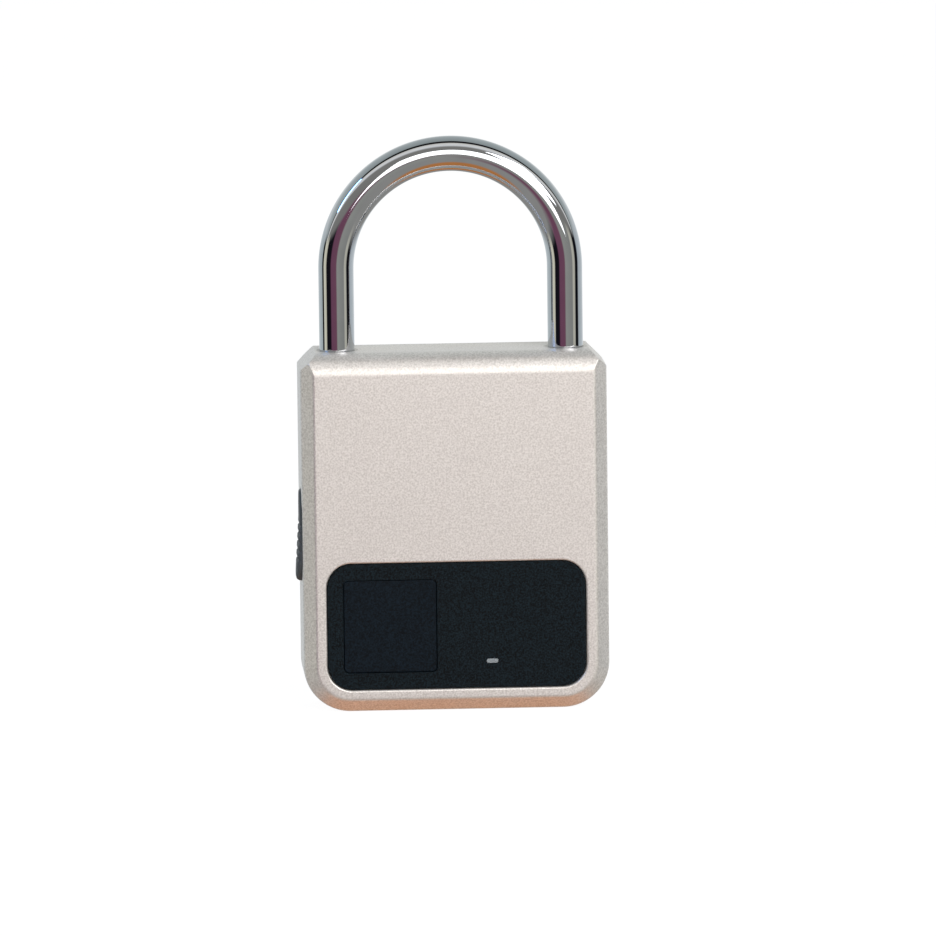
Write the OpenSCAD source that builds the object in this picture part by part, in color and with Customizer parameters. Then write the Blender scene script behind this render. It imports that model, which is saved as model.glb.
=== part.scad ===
// Fingerprint padlock: a die-cast body with a steel shackle, opened by a small geared motor.
// Millimetres. X right, Y towards the back, Z up. Origin at the middle of the base.

/* [Body] */
// Width of the body
body_w = 43.4; // [40:0.1:56]
// Height of the body
body_h = 51; // [49:0.1:66]
// Thickness of the body, front to back
body_t = 13.6; // [13.6:0.1:18]
// Thickness of the side, top and bottom walls
wall = 1.7; // [1.4:0.1:2.2]
// Thickness of the front wall
front_wall = 1.6; // [1.4:0.1:2.2]
// Radius of the two bottom corners, seen from the front
corner_r = 6.6; // [5:0.1:8]
// Size of the 45 degree cut at the two top corners
corner_cut = 2.3; // [1:0.1:3]
// Size of the bevel round the front edge
front_bevel = 1.8; // [1:0.1:2]
// Radius of the rounded top front edge
top_round = 3.1; // [2:0.1:3.2]
// Thickness of the back cover
cover_t = 1.5; // [1.2:0.1:1.8]
// Size of the bevel round the back edge
back_bevel = 0.9; // [0.5:0.1:1.1]

/* [Shackle] */
// Diameter of the shackle bar
bar_d = 5; // [4:0.1:5.4]
// Distance between the centres of the two legs
leg_pitch = 32.4; // [30:0.1:33]
// Height of the straight legs above the body
leg_rise = 11.5; // [8:0.5:40]
// Depth of the free leg in the body
toe_depth = 8.5; // [7.5:0.1:9]
// Depth of the captive leg in the body
heel_depth = 26; // [25:0.1:27]
// Travel of the shackle when it opens
lift = 9.5; // [9:0.1:10]

/* [Front panel] */
// Width of the black panel
panel_w = 36.6; // [34:0.1:37]
// Height of the black panel
panel_h = 17.9; // [17.5:0.1:20]
// Height of the panel's lower edge above the base
panel_z = 3.3; // [2.5:0.1:4]
// Corner radius of the panel
panel_r = 3.5; // [2.5:0.1:4]
// Thickness of the panel
panel_t = 0.85; // [0.7:0.05:1]
// Width and height of the square sensor
sensor_size = 13.15; // [12:0.05:14]
// Distance of the sensor's left edge from the panel's left edge
sensor_inset = 2.3; // [1.8:0.1:6]
// Width of the status light's slot
light_w = 1.65; // [1.2:0.05:2.4]
// Height of the status light's slot
light_h = 0.6; // [0.4:0.05:0.8]

/* [Port cover] */
// Length of the rubber cover, with its fixed root
cover_l = 13.2; // [12.8:0.1:14]
// Width of the rubber cover
cover_w = 6; // [5.4:0.1:6.4]
// How far the cover's root stands out of the side
root_proud = 0.3; // [0.2:0.05:0.4]
// How far the cover's lower end stands out of the side
flap_proud = 0.85; // [0.3:0.05:1]
// Height of the charging port's centre
port_z = 23.6; // [23:0.1:24]

/* [Latch and drive] */
// Height of the latch bolt
latch_h = 3; // [2.6:0.1:3.2]
// Travel of the latch bolt
latch_travel = 1.7; // [1.4:0.1:1.7]
// Gear module of the rack and pinion
gear_module = 0.3; // [0.3:0.01:0.32]
// Number of teeth on the pinion
pinion_teeth = 12; // [11:1:12]
// Diameter of the motor and its gearbox
motor_d = 6; // [5:0.1:6]
// Length of the motor can
can_l = 10.8; // [9:0.1:11]
// Length of the gearbox
gearbox_l = 8; // [7:0.1:8]
// Diameter of the output shaft
shaft_d = 1.2; // [1:0.1:1.4]

/* [Electronics] */
// Thickness of the main board
board_t = 0.8; // [0.6:0.1:1]
// Width of the battery
battery_w = 24; // [20:0.5:24]
// Height of the battery
battery_h = 16.4; // [14:0.1:16.4]
// Thickness of the battery
battery_t = 4.2; // [3.4:0.1:4.4]

/* [Fits] */
// Radial gap between the shackle and its bores
leg_gap = 0.08; // [0.05:0.01:0.1]
// Gap round sliding parts and pins
slide_gap = 0.1; // [0.06:0.01:0.12]
// Gap between parts that drop into each other
seat_gap = 0.1; // [0.05:0.01:0.2]

/* [Hidden] */
$fn = 64;

// Planes of the body
front_y = -body_t / 2;
back_y = body_t / 2;
rim_y = back_y - cover_t;
wall_y = front_y + front_wall;
side_x = body_w / 2;
room_x = side_x - wall;
room_top = body_h - wall;
cut = 0.5;

// Shackle
bar_r = bar_d / 2;
leg_x = leg_pitch / 2;
arc_z = body_h + leg_rise;
toe_z = body_h - toe_depth;
heel_z = body_h - heel_depth;
neck_r = bar_r - 0.8;
pin_r = 0.8;
pin_x = leg_x - neck_r - pin_r - 0.05;
pin_z = body_h - 11.3;
neck_top = pin_z + pin_r + slide_gap;
neck_bottom = pin_z - pin_r - slide_gap - lift;
seal_t = 1;
seal_r = bar_r + 0.5;
seal_z = room_top - seat_gap - seal_t - 0.8;

// Lock frame
frame_gap = 0.15;
frame_front = wall_y + seat_gap;
frame_back = frame_front + 8.7;
frame_x = room_x - frame_gap;
frame_low = body_h - 15.5;
tube_low = heel_z - 12.8;
spring_floor = tube_low + 1;
cap_t = 0.6;
clamp_t = 0.4;
cap_y = frame_back + cap_t;

// Latch: a bolt with a rack along the back of its tail
latch_z = body_h - 5.2;
latch_low = latch_z - latch_h / 2;
channel_low = latch_low - slide_gap;
channel_top = latch_low + latch_h + slide_gap;
pitch_r = gear_module * pinion_teeth / 2;
tooth_pitch = PI * gear_module;
drive_x = -2;
drive_y = frame_back - pitch_r - gear_module - 0.1;
rack_y = drive_y - pitch_r;
latch_front = rack_y - 1.3;
nose_back = latch_front + 3.2;
nose_x = -leg_x + bar_r + 0.3;
notch_depth = latch_travel;
tail_x = 4;
step_x = drive_x - 3.6;
pocket_end = tail_x + 5.2;
latch_spring_y = latch_front + 1.1;

// Motor
motor_r = motor_d / 2;
gearbox_top = frame_low + 5.5;
gearbox_low = gearbox_top - gearbox_l;
can_low = gearbox_low - can_l;
endcap_t = 0.8;
endcap_low = can_low - endcap_t;
shaft_top = channel_top + 0.8;

// Panel and what sits in it
panel_mid_z = panel_z + panel_h / 2;
panel_back = front_y + 1;
panel_front = panel_back - panel_t;
ledge = 1.4;
sensor_x = -panel_w / 2 + sensor_inset + sensor_size / 2;
sensor_face = panel_front + 0.15;
flange_back = panel_back + 0.6;
light_x = 5;
light_z = panel_z + 3.8;

// Board
board_front = wall_y + 0.9;
board_back = board_front + board_t;
board_left = -room_x + 0.8;
board_right = leg_x - bar_r - 1.5;
board_low = 2.4;
board_top = frame_low - 1;
board_screw_z = board_top - 2.4;
board_screw_x = [board_left + 2.6, board_right - 2.6];
port_socket_h = 2.5;
port_y = board_back + port_socket_h / 2;
socket_w = 7.5;
socket_l = 5;

// Battery
battery_x = -0.5;
battery_low = 3;
battery_back = rim_y - 0.5;

// Port cover: a flap that bends at a bead under its fixed root
bead_r = 0.55;
bead_gap = 0.08;
hinge_x = -side_x + bead_r;
hinge_z = port_z + 4.45;
cover_y = -1.9;
cover_top = hinge_z + 3.6;
cover_low = cover_top - cover_l;
recess_x = -side_x + 1;
cover_in = recess_x - seat_gap;
plug_l = 1.2;
stem_r = 0.8;
stem_z = hinge_z + 2;

// Fasteners
m2_r = 1;
m16_r = 0.8;
thread_gap = 0.02;
low_screw_x = side_x - 4.5;
low_screw_z = 4.6;
high_screw_x = 11;
high_screw_z = frame_low + 2;
frame_screw_x = [drive_x - 7.6, drive_x + 7.6];
frame_screw_z = channel_low - 1.6;
clamp_screw_x = [drive_x - 5.4, drive_x + 5.4];
clamp_screw_z = gearbox_top - 1.4;

shell_color = [0.80, 0.77, 0.74];
chrome_color = [0.82, 0.83, 0.85];
steel_color = [0.62, 0.63, 0.65];
black_color = [0.10, 0.11, 0.12];
frame_color = [0.55, 0.56, 0.58];

// ---------- shapes that several pieces share ----------

// Front view of the body, drawn d inside its outer edge: round below, cut at 45 degrees above
module outline(d) {
    x = side_x - d;
    r = corner_r - d;
    c = corner_cut - (2 - sqrt(2)) * d;
    union() {
        polygon([[-x, corner_r], [x, corner_r], [x, body_h - d - c], [x - c, body_h - d],
            [-x + c, body_h - d], [-x, body_h - d - c]]);
        translate([-side_x + corner_r, d]) square([body_w - 2 * corner_r, corner_r - d + 0.01]);
        for (s = [-1, 1])
            translate([s * (side_x - corner_r), corner_r]) circle(r);
    }
}

// A front-view shape made solid between two planes across Y
module slab(y0, y1) {
    translate([0, y1, 0]) rotate([90, 0, 0]) linear_extrude(y1 - y0) children();
}

// A rod along Y, placed by its centre in the front view
module rod(x, z, y0, y1, r) {
    translate([x, y1, z]) rotate([90, 0, 0]) cylinder(r = r, h = y1 - y0);
}

// A block from its low corner to its high corner
module block(a, b) {
    translate(a) cube(b - a);
}

// Rectangle with round corners, centred
module round_rect(w, h, r) {
    union() {
        square([w - 2 * r, h], center = true);
        square([w, h - 2 * r], center = true);
        for (i = [-1, 1])
            for (j = [-1, 1])
                translate([i * (w / 2 - r), j * (h / 2 - r)]) circle(r);
    }
}

// The whole outside of the body, with its front and back edges bevelled all the way round
module body_solid() {
    union() {
        difference() {
            intersection() {
                slab(front_y, back_y) outline(0);
                linear_extrude(body_h) section_across();
                translate([-side_x, 0, 0]) rotate([90, 0, 90]) linear_extrude(body_w) section_along();
            }
            for (s = [-1, 1])
                translate([s * (side_x - corner_r / 2 + cut / 2), 0, corner_r / 2 - cut / 2])
                    cube([corner_r + cut, body_t + 1, corner_r + cut], center = true);
        }
        for (s = [-1, 1])
            bottom_corner(s);
    }
}

// Seen from above: bevelled at the front and at the back
module section_across() {
    polygon([[-side_x, front_y + front_bevel], [-side_x + front_bevel, front_y],
        [side_x - front_bevel, front_y], [side_x, front_y + front_bevel],
        [side_x, back_y - back_bevel], [side_x - back_bevel, back_y],
        [-side_x + back_bevel, back_y], [-side_x, back_y - back_bevel]]);
}

// Seen from the side: bevelled below, rounded at the top of the front
module section_along() {
    union() {
        polygon([[front_y + front_bevel, 0], [back_y - back_bevel, 0], [back_y, back_bevel],
            [back_y, body_h - back_bevel], [back_y - back_bevel, body_h],
            [front_y + top_round, body_h], [front_y + top_round, body_h - top_round],
            [front_y, body_h - top_round], [front_y, front_bevel]]);
        translate([front_y + top_round, body_h - top_round]) circle(top_round);
    }
}

// One bottom corner: the bevels carried round it
module bottom_corner(s) {
    translate([s * (side_x - corner_r), 0, corner_r]) intersection() {
        rotate([-90, 0, 0]) rotate_extrude() polygon([[0, front_y], [corner_r - front_bevel, front_y],
            [corner_r, front_y + front_bevel], [corner_r, back_y - back_bevel],
            [corner_r - back_bevel, back_y], [0, back_y]]);
        translate([s * (corner_r + cut) / 2, 0, -(corner_r + cut) / 2])
            cube([corner_r + cut, body_t + 1, corner_r + cut], center = true);
    }
}

// A countersunk screw that goes in along -Y, with a hexagon socket
module flat_screw(x, z, y_head, r, l) {
    difference() {
        union() {
            rod(x, z, y_head - l, y_head - 0.9, r);
            translate([x, y_head, z]) rotate([90, 0, 0]) cylinder(r1 = r * 1.75, r2 = r, h = 0.9);
        }
        translate([x, y_head + cut, z]) rotate([90, 0, 0]) cylinder(r = r * 0.65, h = 0.6 + cut, $fn = 6);
    }
}

// A flat-headed screw that goes in along -Y, with a cross slot
module pan_screw(x, z, y_seat, r, head_h, l) {
    difference() {
        union() {
            rod(x, z, y_seat - l, y_seat, r);
            rod(x, z, y_seat, y_seat + head_h, r * 1.7);
        }
        for (a = [0, 90])
            translate([x, y_seat + head_h, z]) rotate([0, a, 0]) cube([r * 2.2, 0.7, r * 0.35], center = true);
    }
}

// A lead through a list of points: straight runs with round bends
module lead(points, r) {
    union() {
        for (i = [0 : len(points) - 2]) {
            v = points[i + 1] - points[i];
            l = norm(v);
            translate(points[i]) rotate([0, acos(v[2] / l), atan2(v[1], v[0])]) cylinder(r = r, h = l, $fn = 16);
        }
        for (i = [1 : len(points) - 2])
            translate(points[i]) sphere(r, $fn = 16);
    }
}

// A coil spring along Z from z = 0, as a swept wire with flat ends
function ring_point(r, wire_r, pitch, a, b) =
    [(r + wire_r * cos(b)) * cos(a), (r + wire_r * cos(b)) * sin(a), pitch * a / 360 + wire_r * sin(b)];
module coil(r, wire_r, l, turns) {
    steps = 20;
    sides = 8;
    pitch = (l - 2 * wire_r) / turns;
    rings = turns * steps;
    points = [for (i = [0 : rings]) for (j = [0 : sides - 1])
        ring_point(r, wire_r, pitch, i * 360 / steps, j * 360 / sides)];
    skin = [for (i = [0 : rings - 1]) for (j = [0 : sides - 1])
        [i * sides + j, (i + 1) * sides + j,
            (i + 1) * sides + (j + 1) % sides, i * sides + (j + 1) % sides]];
    start = [[for (j = [0 : sides - 1]) j]];
    end = [[for (j = [sides - 1 : -1 : 0]) rings * sides + j]];
    translate([0, 0, wire_r]) polyhedron(points, concat(start, skin, end));
}

// ---------- housing ----------

module front_shell() {
    color(shell_color) difference() {
        union() {
            difference() {
                intersection() {
                    body_solid();
                    block([-side_x - 1, front_y - 1, -1], [side_x + 1, rim_y, body_h + 1]);
                }
                slab(wall_y, back_y) outline(wall);
            }
            shell_bosses();
        }
        slab(front_y - cut, panel_back)
            translate([0, panel_mid_z]) round_rect(panel_w + 2 * seat_gap, panel_h + 2 * seat_gap, panel_r);
        slab(front_y - cut, wall_y + 0.01)
            translate([0, panel_mid_z]) round_rect(panel_w - 2 * ledge, panel_h - 2 * ledge, panel_r - ledge);
        for (s = [-1, 1])
            shell_leg_hole(s);
        slab(rim_y - 0.6, rim_y + cut) gasket_outline(0.05);
        port_recess();
        for (s = [-1, 1])
            rod(s * low_screw_x, low_screw_z, back_y - 7, back_y, m2_r + thread_gap);
        for (x = frame_screw_x)
            rod(x, frame_screw_z, wall_y + 0.3, frame_back, m2_r + thread_gap);
        for (x = board_screw_x)
            rod(x, board_screw_z, wall_y - 0.8, board_back, m16_r + thread_gap);
    }
}

// Posts that stand on the inside of the front wall
module shell_bosses() {
    for (s = [-1, 1]) {
        rod(s * low_screw_x, low_screw_z, wall_y, rim_y, 2.2);
        rod(s * 10, 3, wall_y - 0.3, board_front, 0.8);
    }
    for (x = frame_screw_x)
        rod(x, frame_screw_z, wall_y - 0.3, wall_y + 2.9, 2);
    for (x = board_screw_x)
        rod(x, board_screw_z, wall_y - 0.3, board_front, 1.8);
}

// Hole in the top wall with a small countersink
module shell_leg_hole(s) {
    r = bar_r + 0.25;
    translate([s * leg_x, 0, room_top - cut]) cylinder(r = r, h = wall + 2 * cut);
    translate([s * leg_x, 0, body_h - 0.3]) cylinder(r1 = r, r2 = r + 0.3, h = 0.3);
}

// Groove for the rubber ring, grown by gap on both sides
module gasket_outline(gap) {
    difference() {
        outline(0.5 - gap);
        outline(1.15 + gap);
    }
}

// Side view of the rubber cover, round at both ends, made solid from x0 to x1
module cover_prism(x0, x1, gap) {
    translate([x0, cover_y, (cover_top + cover_low) / 2]) rotate([90, 0, 90]) linear_extrude(x1 - x0)
        round_rect(cover_w + 2 * gap, cover_l + 2 * gap, cover_w / 2 + gap - 0.01);
}

// Recess in the left side for the rubber cover, its stem hole and the slot to the charging socket
module port_recess() {
    cover_prism(-side_x - 1, recess_x, seat_gap);
    rod(hinge_x, hinge_z, cover_y - cover_w / 2 - seat_gap, cover_y + cover_w / 2 + seat_gap, bead_r + bead_gap);
    translate([-side_x, cover_y, stem_z]) rotate([0, 90, 0]) cylinder(r = stem_r + seat_gap, h = wall + 0.01);
    translate([-side_x, port_y, port_z]) rotate([0, 90, 0]) linear_extrude(wall + 0.01)
        round_rect(8.2, 3.2, 1);
}

module back_cover() {
    color(shell_color) difference() {
        union() {
            intersection() {
                body_solid();
                block([-side_x - 1, rim_y, -1], [side_x + 1, back_y + 1, body_h + 1]);
            }
            difference() {
                slab(rim_y - 0.8, rim_y + 0.01) difference() {
                    outline(wall + seat_gap);
                    outline(wall + seat_gap + 0.8);
                }
                for (s = [-1, 1])
                    rod(s * low_screw_x, low_screw_z, rim_y - 1, rim_y, 2.3);
            }
            for (s = [-1, 1])
                rod(s * high_screw_x, high_screw_z, frame_back, rim_y + 0.01, 1.9);
        }
        for (s = [-1, 1]) {
            screw_seat(s * low_screw_x, low_screw_z);
            screw_seat(s * high_screw_x, high_screw_z);
        }
    }
}

// Through hole and countersink for one cover screw
module screw_seat(x, z) {
    rod(x, z, frame_back - cut, back_y + cut, m2_r + seat_gap);
    translate([x, back_y, z]) rotate([90, 0, 0])
        cylinder(r1 = m2_r * 1.75 + seat_gap, r2 = m2_r + seat_gap, h = 0.9);
}

module cover_gasket() {
    color(black_color) slab(rim_y - 0.6, rim_y) gasket_outline(0);
}

module back_cover_screws() {
    color(steel_color) for (s = [-1, 1]) {
        flat_screw(s * low_screw_x, low_screw_z, back_y - 0.1, m2_r, 6.5);
        flat_screw(s * high_screw_x, high_screw_z, back_y - 0.1, m2_r, 6.5);
    }
}

// ---------- front panel ----------

module sensor_panel() {
    color(black_color) difference() {
        slab(panel_front, panel_back)
            translate([0, panel_mid_z]) round_rect(panel_w, panel_h, panel_r);
        slab(panel_front - cut, panel_back + cut) translate([sensor_x, panel_mid_z])
            round_rect(sensor_size + seat_gap, sensor_size + seat_gap, 0.75);
        slab(panel_front - cut, panel_back + cut) translate([light_x, light_z])
            round_rect(light_w + seat_gap, light_h + seat_gap, (light_h + seat_gap) / 2 - 0.01);
    }
}

module fingerprint_sensor() {
    color([0.09, 0.11, 0.14]) union() {
        slab(sensor_face, panel_back + 0.01) translate([sensor_x, panel_mid_z])
            round_rect(sensor_size, sensor_size, 0.7);
        slab(panel_back, flange_back) translate([sensor_x, panel_mid_z])
            round_rect(sensor_size + 1, sensor_size + 1, 1);
    }
}

module sensor_flex() {
    t = 0.15;
    z_fold = panel_z + panel_h - ledge - 1;
    color([0.75, 0.5, 0.15]) translate([sensor_x - 3, 0, 0]) rotate([90, 0, 90]) linear_extrude(6)
        polygon([[flange_back, panel_mid_z], [flange_back + t, panel_mid_z], [flange_back + t, z_fold],
            [board_front, z_fold], [board_front, z_fold + 4], [board_front - t, z_fold + 4],
            [board_front - t, z_fold + t], [flange_back, z_fold + t]]);
}

module light_pipe() {
    color([0.9, 0.92, 0.95, 0.8]) union() {
        slab(panel_front, panel_back + 0.01) translate([light_x, light_z])
            round_rect(light_w, light_h, light_h / 2 - 0.01);
        slab(panel_back, flange_back) translate([light_x, light_z])
            round_rect(light_w + 1.4, light_h + 1.2, 0.3);
        block([light_x - 0.7, flange_back - 0.01, light_z - 0.3],
            [light_x + 0.7, board_front - 0.6, light_z + 0.3]);
    }
}

module status_led() {
    color("white") block([light_x - 0.8, board_front - 0.5, light_z - 0.4],
        [light_x + 0.8, board_front, light_z + 0.4]);
}

// ---------- electronics ----------

module main_board() {
    notch_x = -low_screw_x + 2.6;
    notch_z = low_screw_z + 2.6;
    color([0.08, 0.3, 0.16]) difference() {
        slab(board_front, board_back)
            polygon([[notch_x, board_low], [board_right, board_low], [board_right, board_top],
                [board_left, board_top], [board_left, notch_z], [notch_x, notch_z]]);
        for (x = board_screw_x)
            rod(x, board_screw_z, board_front - cut, board_back + cut, m16_r + seat_gap);
    }
}

module controller_chip() {
    color(black_color) block([-8, board_back, 9], [-1, board_back + 0.9, 16]);
}

module charger_chip() {
    color(black_color) block([board_left + 2, board_back, 13], [board_left + 5, board_back + 0.9, 16]);
}

module board_components() {
    color([0.7, 0.6, 0.45]) for (i = [0 : 3]) {
        block([1.2 + i * 2.2, board_back, 10], [2.2 + i * 2.2, board_back + 0.5, 10.6]);
        block([1.2 + i * 2.2, board_back, 12.4], [2.2 + i * 2.2, board_back + 0.5, 13]);
    }
    color([0.3, 0.3, 0.32]) block([board_left + 1.6, board_back, 16.4],
        [board_left + 4.4, board_back + 1.4, 19.2]);
    color([0.75, 0.76, 0.78]) block([-11.8, board_back, 11], [-9.3, board_back + 0.7, 14.2]);
}

module board_screws() {
    color(steel_color) for (x = board_screw_x)
        pan_screw(x, board_screw_z, board_back, m16_r, 0.9, board_t + 1.6);
}

module usb_socket() {
    t = 0.3;
    x0 = -room_x + 0.02;
    color(steel_color) translate([x0, port_y, port_z]) rotate([0, 90, 0]) difference() {
        linear_extrude(socket_l) round_rect(socket_w, port_socket_h, 0.9);
        translate([0, 0, -cut]) linear_extrude(socket_l - t + cut)
            round_rect(socket_w - 2 * t, port_socket_h - 2 * t, 0.6);
    }
}

module usb_tongue() {
    x1 = -room_x + 0.02 + socket_l - 0.3;
    color(black_color) block([x1 - 3.4, port_y - 0.3, port_z - 2], [x1, port_y + 0.3, port_z + 2]);
}

module battery() {
    color([0.7, 0.72, 0.74]) slab(battery_back - battery_t, battery_back)
        translate([battery_x, battery_low + battery_h / 2]) round_rect(battery_w, battery_h, 0.8);
}

module battery_pad() {
    color([0.9, 0.9, 0.88]) slab(battery_back, rim_y)
        translate([battery_x, battery_low + battery_h / 2]) square([battery_w - 4, battery_h - 4], center = true);
}

module battery_leads() {
    top = battery_low + battery_h;
    y = battery_back - battery_t / 2;
    for (i = [0, 1])
        color(i == 0 ? "red" : "black")
            lead([[-10.5 + i * 1.6, y, top], [-10.5 + i * 1.6, y, top + 1.2],
                [-10.5 + i * 1.6, board_back, top + 1.2]], 0.35);
}

module motor_leads() {
    for (i = [0, 1])
        color(i == 0 ? "orange" : "blue")
            lead([[drive_x - 1.4 + i * 2.8, drive_y, endcap_low], [drive_x - 1.4 + i * 2.8, drive_y, endcap_low - 0.6],
                [drive_x - 1.4 + i * 2.8, board_back, endcap_low - 0.6]], 0.3);
}

// ---------- lock ----------

module lock_frame() {
    tube_x = leg_x - bar_r - 1;
    color(frame_color) difference() {
        union() {
            intersection() {
                slab(frame_front, frame_back) outline(wall + frame_gap);
                block([-side_x, front_y, frame_low], [side_x, back_y, room_top - seat_gap]);
            }
            block([tube_x, -bar_r - 0.9, tube_low], [frame_x, bar_r + 0.9, frame_low + 0.01]);
        }
        translate([leg_x, 0, spring_floor]) cylinder(r = bar_r + leg_gap, h = body_h);
        translate([-leg_x, 0, toe_z - 0.6]) cylinder(r = bar_r + leg_gap, h = body_h);
        for (s = [-1, 1])
            translate([s * leg_x, 0, seal_z]) cylinder(r = seal_r + 0.05, h = seal_t);
        block([-leg_x, latch_front - slide_gap, channel_low], [tail_x + 0.3, back_y, channel_top]);
        block([tail_x, latch_front - slide_gap, latch_z - 1.2], [pocket_end, back_y, latch_z + 1.2]);
        translate([drive_x, drive_y, frame_low - cut]) cylinder(r = motor_r + 0.05, h = gearbox_top - frame_low + cut);
        block([drive_x - motor_r - 0.05, drive_y, frame_low - cut], [drive_x + motor_r + 0.05, back_y, gearbox_top]);
        translate([drive_x, drive_y, gearbox_top - cut])
            cylinder(r = shaft_d / 2 + 0.05, h = shaft_top - gearbox_top + cut + 0.2);
        rod(pin_x, pin_z, -3.5, frame_back + cut, pin_r + thread_gap);
        for (x = frame_screw_x) {
            rod(x, frame_screw_z, frame_front - cut, frame_back + cut, m2_r + 0.05);
            rod(x, frame_screw_z, frame_front - cut, wall_y + 2.9, 2 + seat_gap);
        }
        for (x = clamp_screw_x)
            rod(x, clamp_screw_z, frame_back - 3.2, frame_back + cut, m16_r + thread_gap);
        for (s = [-1, 1])
            rod(s * high_screw_x, high_screw_z, back_y - 7, frame_back + cut, m2_r + thread_gap);
    }
}

module frame_cap() {
    color(steel_color) difference() {
        union() {
            block([nose_x + 0.4, frame_back, frame_low + 0.5], [pin_x + 1.6, cap_y, room_top - 0.4]);
            block([-12.8, nose_back + slide_gap, latch_z - 1.3], [step_x - 1.4, frame_back + 0.01, latch_z + 1.3]);
            block([tail_x + 0.7, latch_spring_y + 1.2, latch_z - 1],
                [pocket_end - 0.2, frame_back + 0.01, latch_z + 1]);
        }
        block([drive_x - motor_r - 0.2, frame_back - cut, frame_low - cut],
            [drive_x + motor_r + 0.2, cap_y + cut, gearbox_top + 0.2]);
        for (x = frame_screw_x)
            rod(x, frame_screw_z, frame_back - cut, cap_y + cut, m2_r + 0.05);
        for (x = clamp_screw_x)
            rod(x, clamp_screw_z, frame_back - cut, cap_y + cut, m16_r + 0.05);
        for (s = [-1, 1])
            block([s * high_screw_x - 2, frame_back - cut, frame_low - cut],
                [s * high_screw_x + 2, cap_y + cut, high_screw_z + 2]);
    }
}

module frame_screws() {
    color(steel_color) for (x = frame_screw_x)
        pan_screw(x, frame_screw_z, cap_y, m2_r, 0.8, cap_y - wall_y - 0.6);
}

module shackle_spring() {
    color(steel_color) translate([leg_x, 0, spring_floor]) coil(1.85, 0.25, heel_z - 1 - spring_floor, 8);
}

module retaining_pin() {
    color(steel_color) rod(pin_x, pin_z, -3.4, frame_back, pin_r);
}

module shackle_seals() {
    color(black_color) for (s = [-1, 1])
        translate([s * leg_x, 0, seal_z]) difference() {
            cylinder(r = seal_r, h = seal_t);
            translate([0, 0, -cut]) cylinder(r = bar_r + 0.05, h = seal_t + 2 * cut);
        }
}

module shackle() {
    color(chrome_color) difference() {
        union() {
            translate([0, 0, arc_z]) rotate([90, 0, 0]) rotate_extrude(angle = 180) translate([leg_x, 0]) circle(bar_r);
            translate([-leg_x, 0, toe_z + 0.5]) cylinder(r = bar_r, h = arc_z - toe_z - 0.5);
            translate([-leg_x, 0, toe_z]) cylinder(r1 = bar_r - 0.5, r2 = bar_r, h = 0.5);
            translate([leg_x, 0, neck_top]) cylinder(r = bar_r, h = arc_z - neck_top);
            translate([leg_x, 0, neck_bottom]) cylinder(r = neck_r, h = neck_top - neck_bottom);
            translate([leg_x, 0, heel_z]) cylinder(r = bar_r, h = neck_bottom - heel_z);
        }
        block([-leg_x + bar_r - notch_depth, -bar_r - 1, channel_low], [-leg_x + bar_r + 1, bar_r + 1, channel_top]);
    }
}

module spring_cap() {
    color("ivory") translate([leg_x, 0, heel_z]) union() {
        translate([0, 0, -1]) cylinder(r = bar_r - 0.2, h = 1);
        translate([0, 0, -2.2]) cylinder(r = 1.2, h = 1.3);
    }
}

// ---------- latch and drive ----------

// One tooth of the rack, pointing to +Y and standing on the pitch line
module rack_tooth(x) {
    half = tooth_pitch / 4 - 0.04;
    slope = tan(20) * gear_module;
    translate([x, rack_y]) polygon([[-half - slope * 1.25, -gear_module * 1.25], [half + slope * 1.25, -gear_module * 1.25],
        [half - slope * 0.9, gear_module * 0.9], [-half + slope * 0.9, gear_module * 0.9]]);
}

module latch_bolt() {
    root = rack_y - gear_module * 1.25;
    count = floor((tail_x - 0.2 - drive_x) / tooth_pitch + 0.5);
    color(steel_color) union() {
        block([nose_x, latch_front, latch_low], [step_x, nose_back, latch_low + latch_h]);
        block([step_x - 0.01, latch_front, latch_low], [tail_x, root, latch_low + latch_h]);
        translate([0, 0, latch_low]) linear_extrude(latch_h)
            for (i = [-3 : count - 1])
                rack_tooth(drive_x + (i + 0.5) * tooth_pitch);
        translate([tail_x - 0.01, latch_spring_y, latch_z]) rotate([0, 90, 0]) cylinder(r = 0.6, h = 1.2);
    }
}

module latch_spring() {
    color(steel_color) translate([tail_x, latch_spring_y, latch_z]) rotate([0, 90, 0])
        coil(0.9, 0.15, pocket_end - tail_x, 7);
}

module output_shaft() {
    color(chrome_color) translate([drive_x, drive_y, gearbox_top]) cylinder(r = shaft_d / 2, h = shaft_top - gearbox_top);
}

// Points of one tooth flank: the involute of the base circle from r0 outwards
function involute_angle(base, r) = sqrt(pow(r / base, 2) - 1) * 180 / PI - acos(base / r);
module drive_pinion() {
    base = pitch_r * cos(20);
    outer = pitch_r + gear_module * 0.9;
    root = pitch_r - gear_module * 1.25;
    half = 90 / pinion_teeth - 0.04 / pitch_r * 180 / PI + involute_angle(base, pitch_r);
    steps = 5;
    radii = [for (i = [0 : steps]) base + (outer - base) * i / steps];
    flank = [for (r = radii) [half - involute_angle(base, r), r]];
    color("goldenrod") translate([drive_x, drive_y, latch_low + 0.2]) difference() {
        linear_extrude(latch_h - 0.4) union() {
            circle(root);
            for (k = [0 : pinion_teeth - 1])
                rotate(k * 360 / pinion_teeth - 90)
                    polygon(concat([[0, 0], [root * cos(half), -root * sin(half)]],
                        [for (p = flank) p[1] * [cos(p[0]), -sin(p[0])]],
                        [for (i = [steps : -1 : 0]) flank[i][1] * [cos(flank[i][0]), sin(flank[i][0])]],
                        [[root * cos(half), root * sin(half)]]));
        }
        translate([0, 0, -cut]) cylinder(r = shaft_d / 2 + thread_gap, h = latch_h + 1);
    }
}

module gearbox_barrel() {
    color(chrome_color) translate([drive_x, drive_y, gearbox_low]) cylinder(r = motor_r, h = gearbox_l);
}

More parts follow.
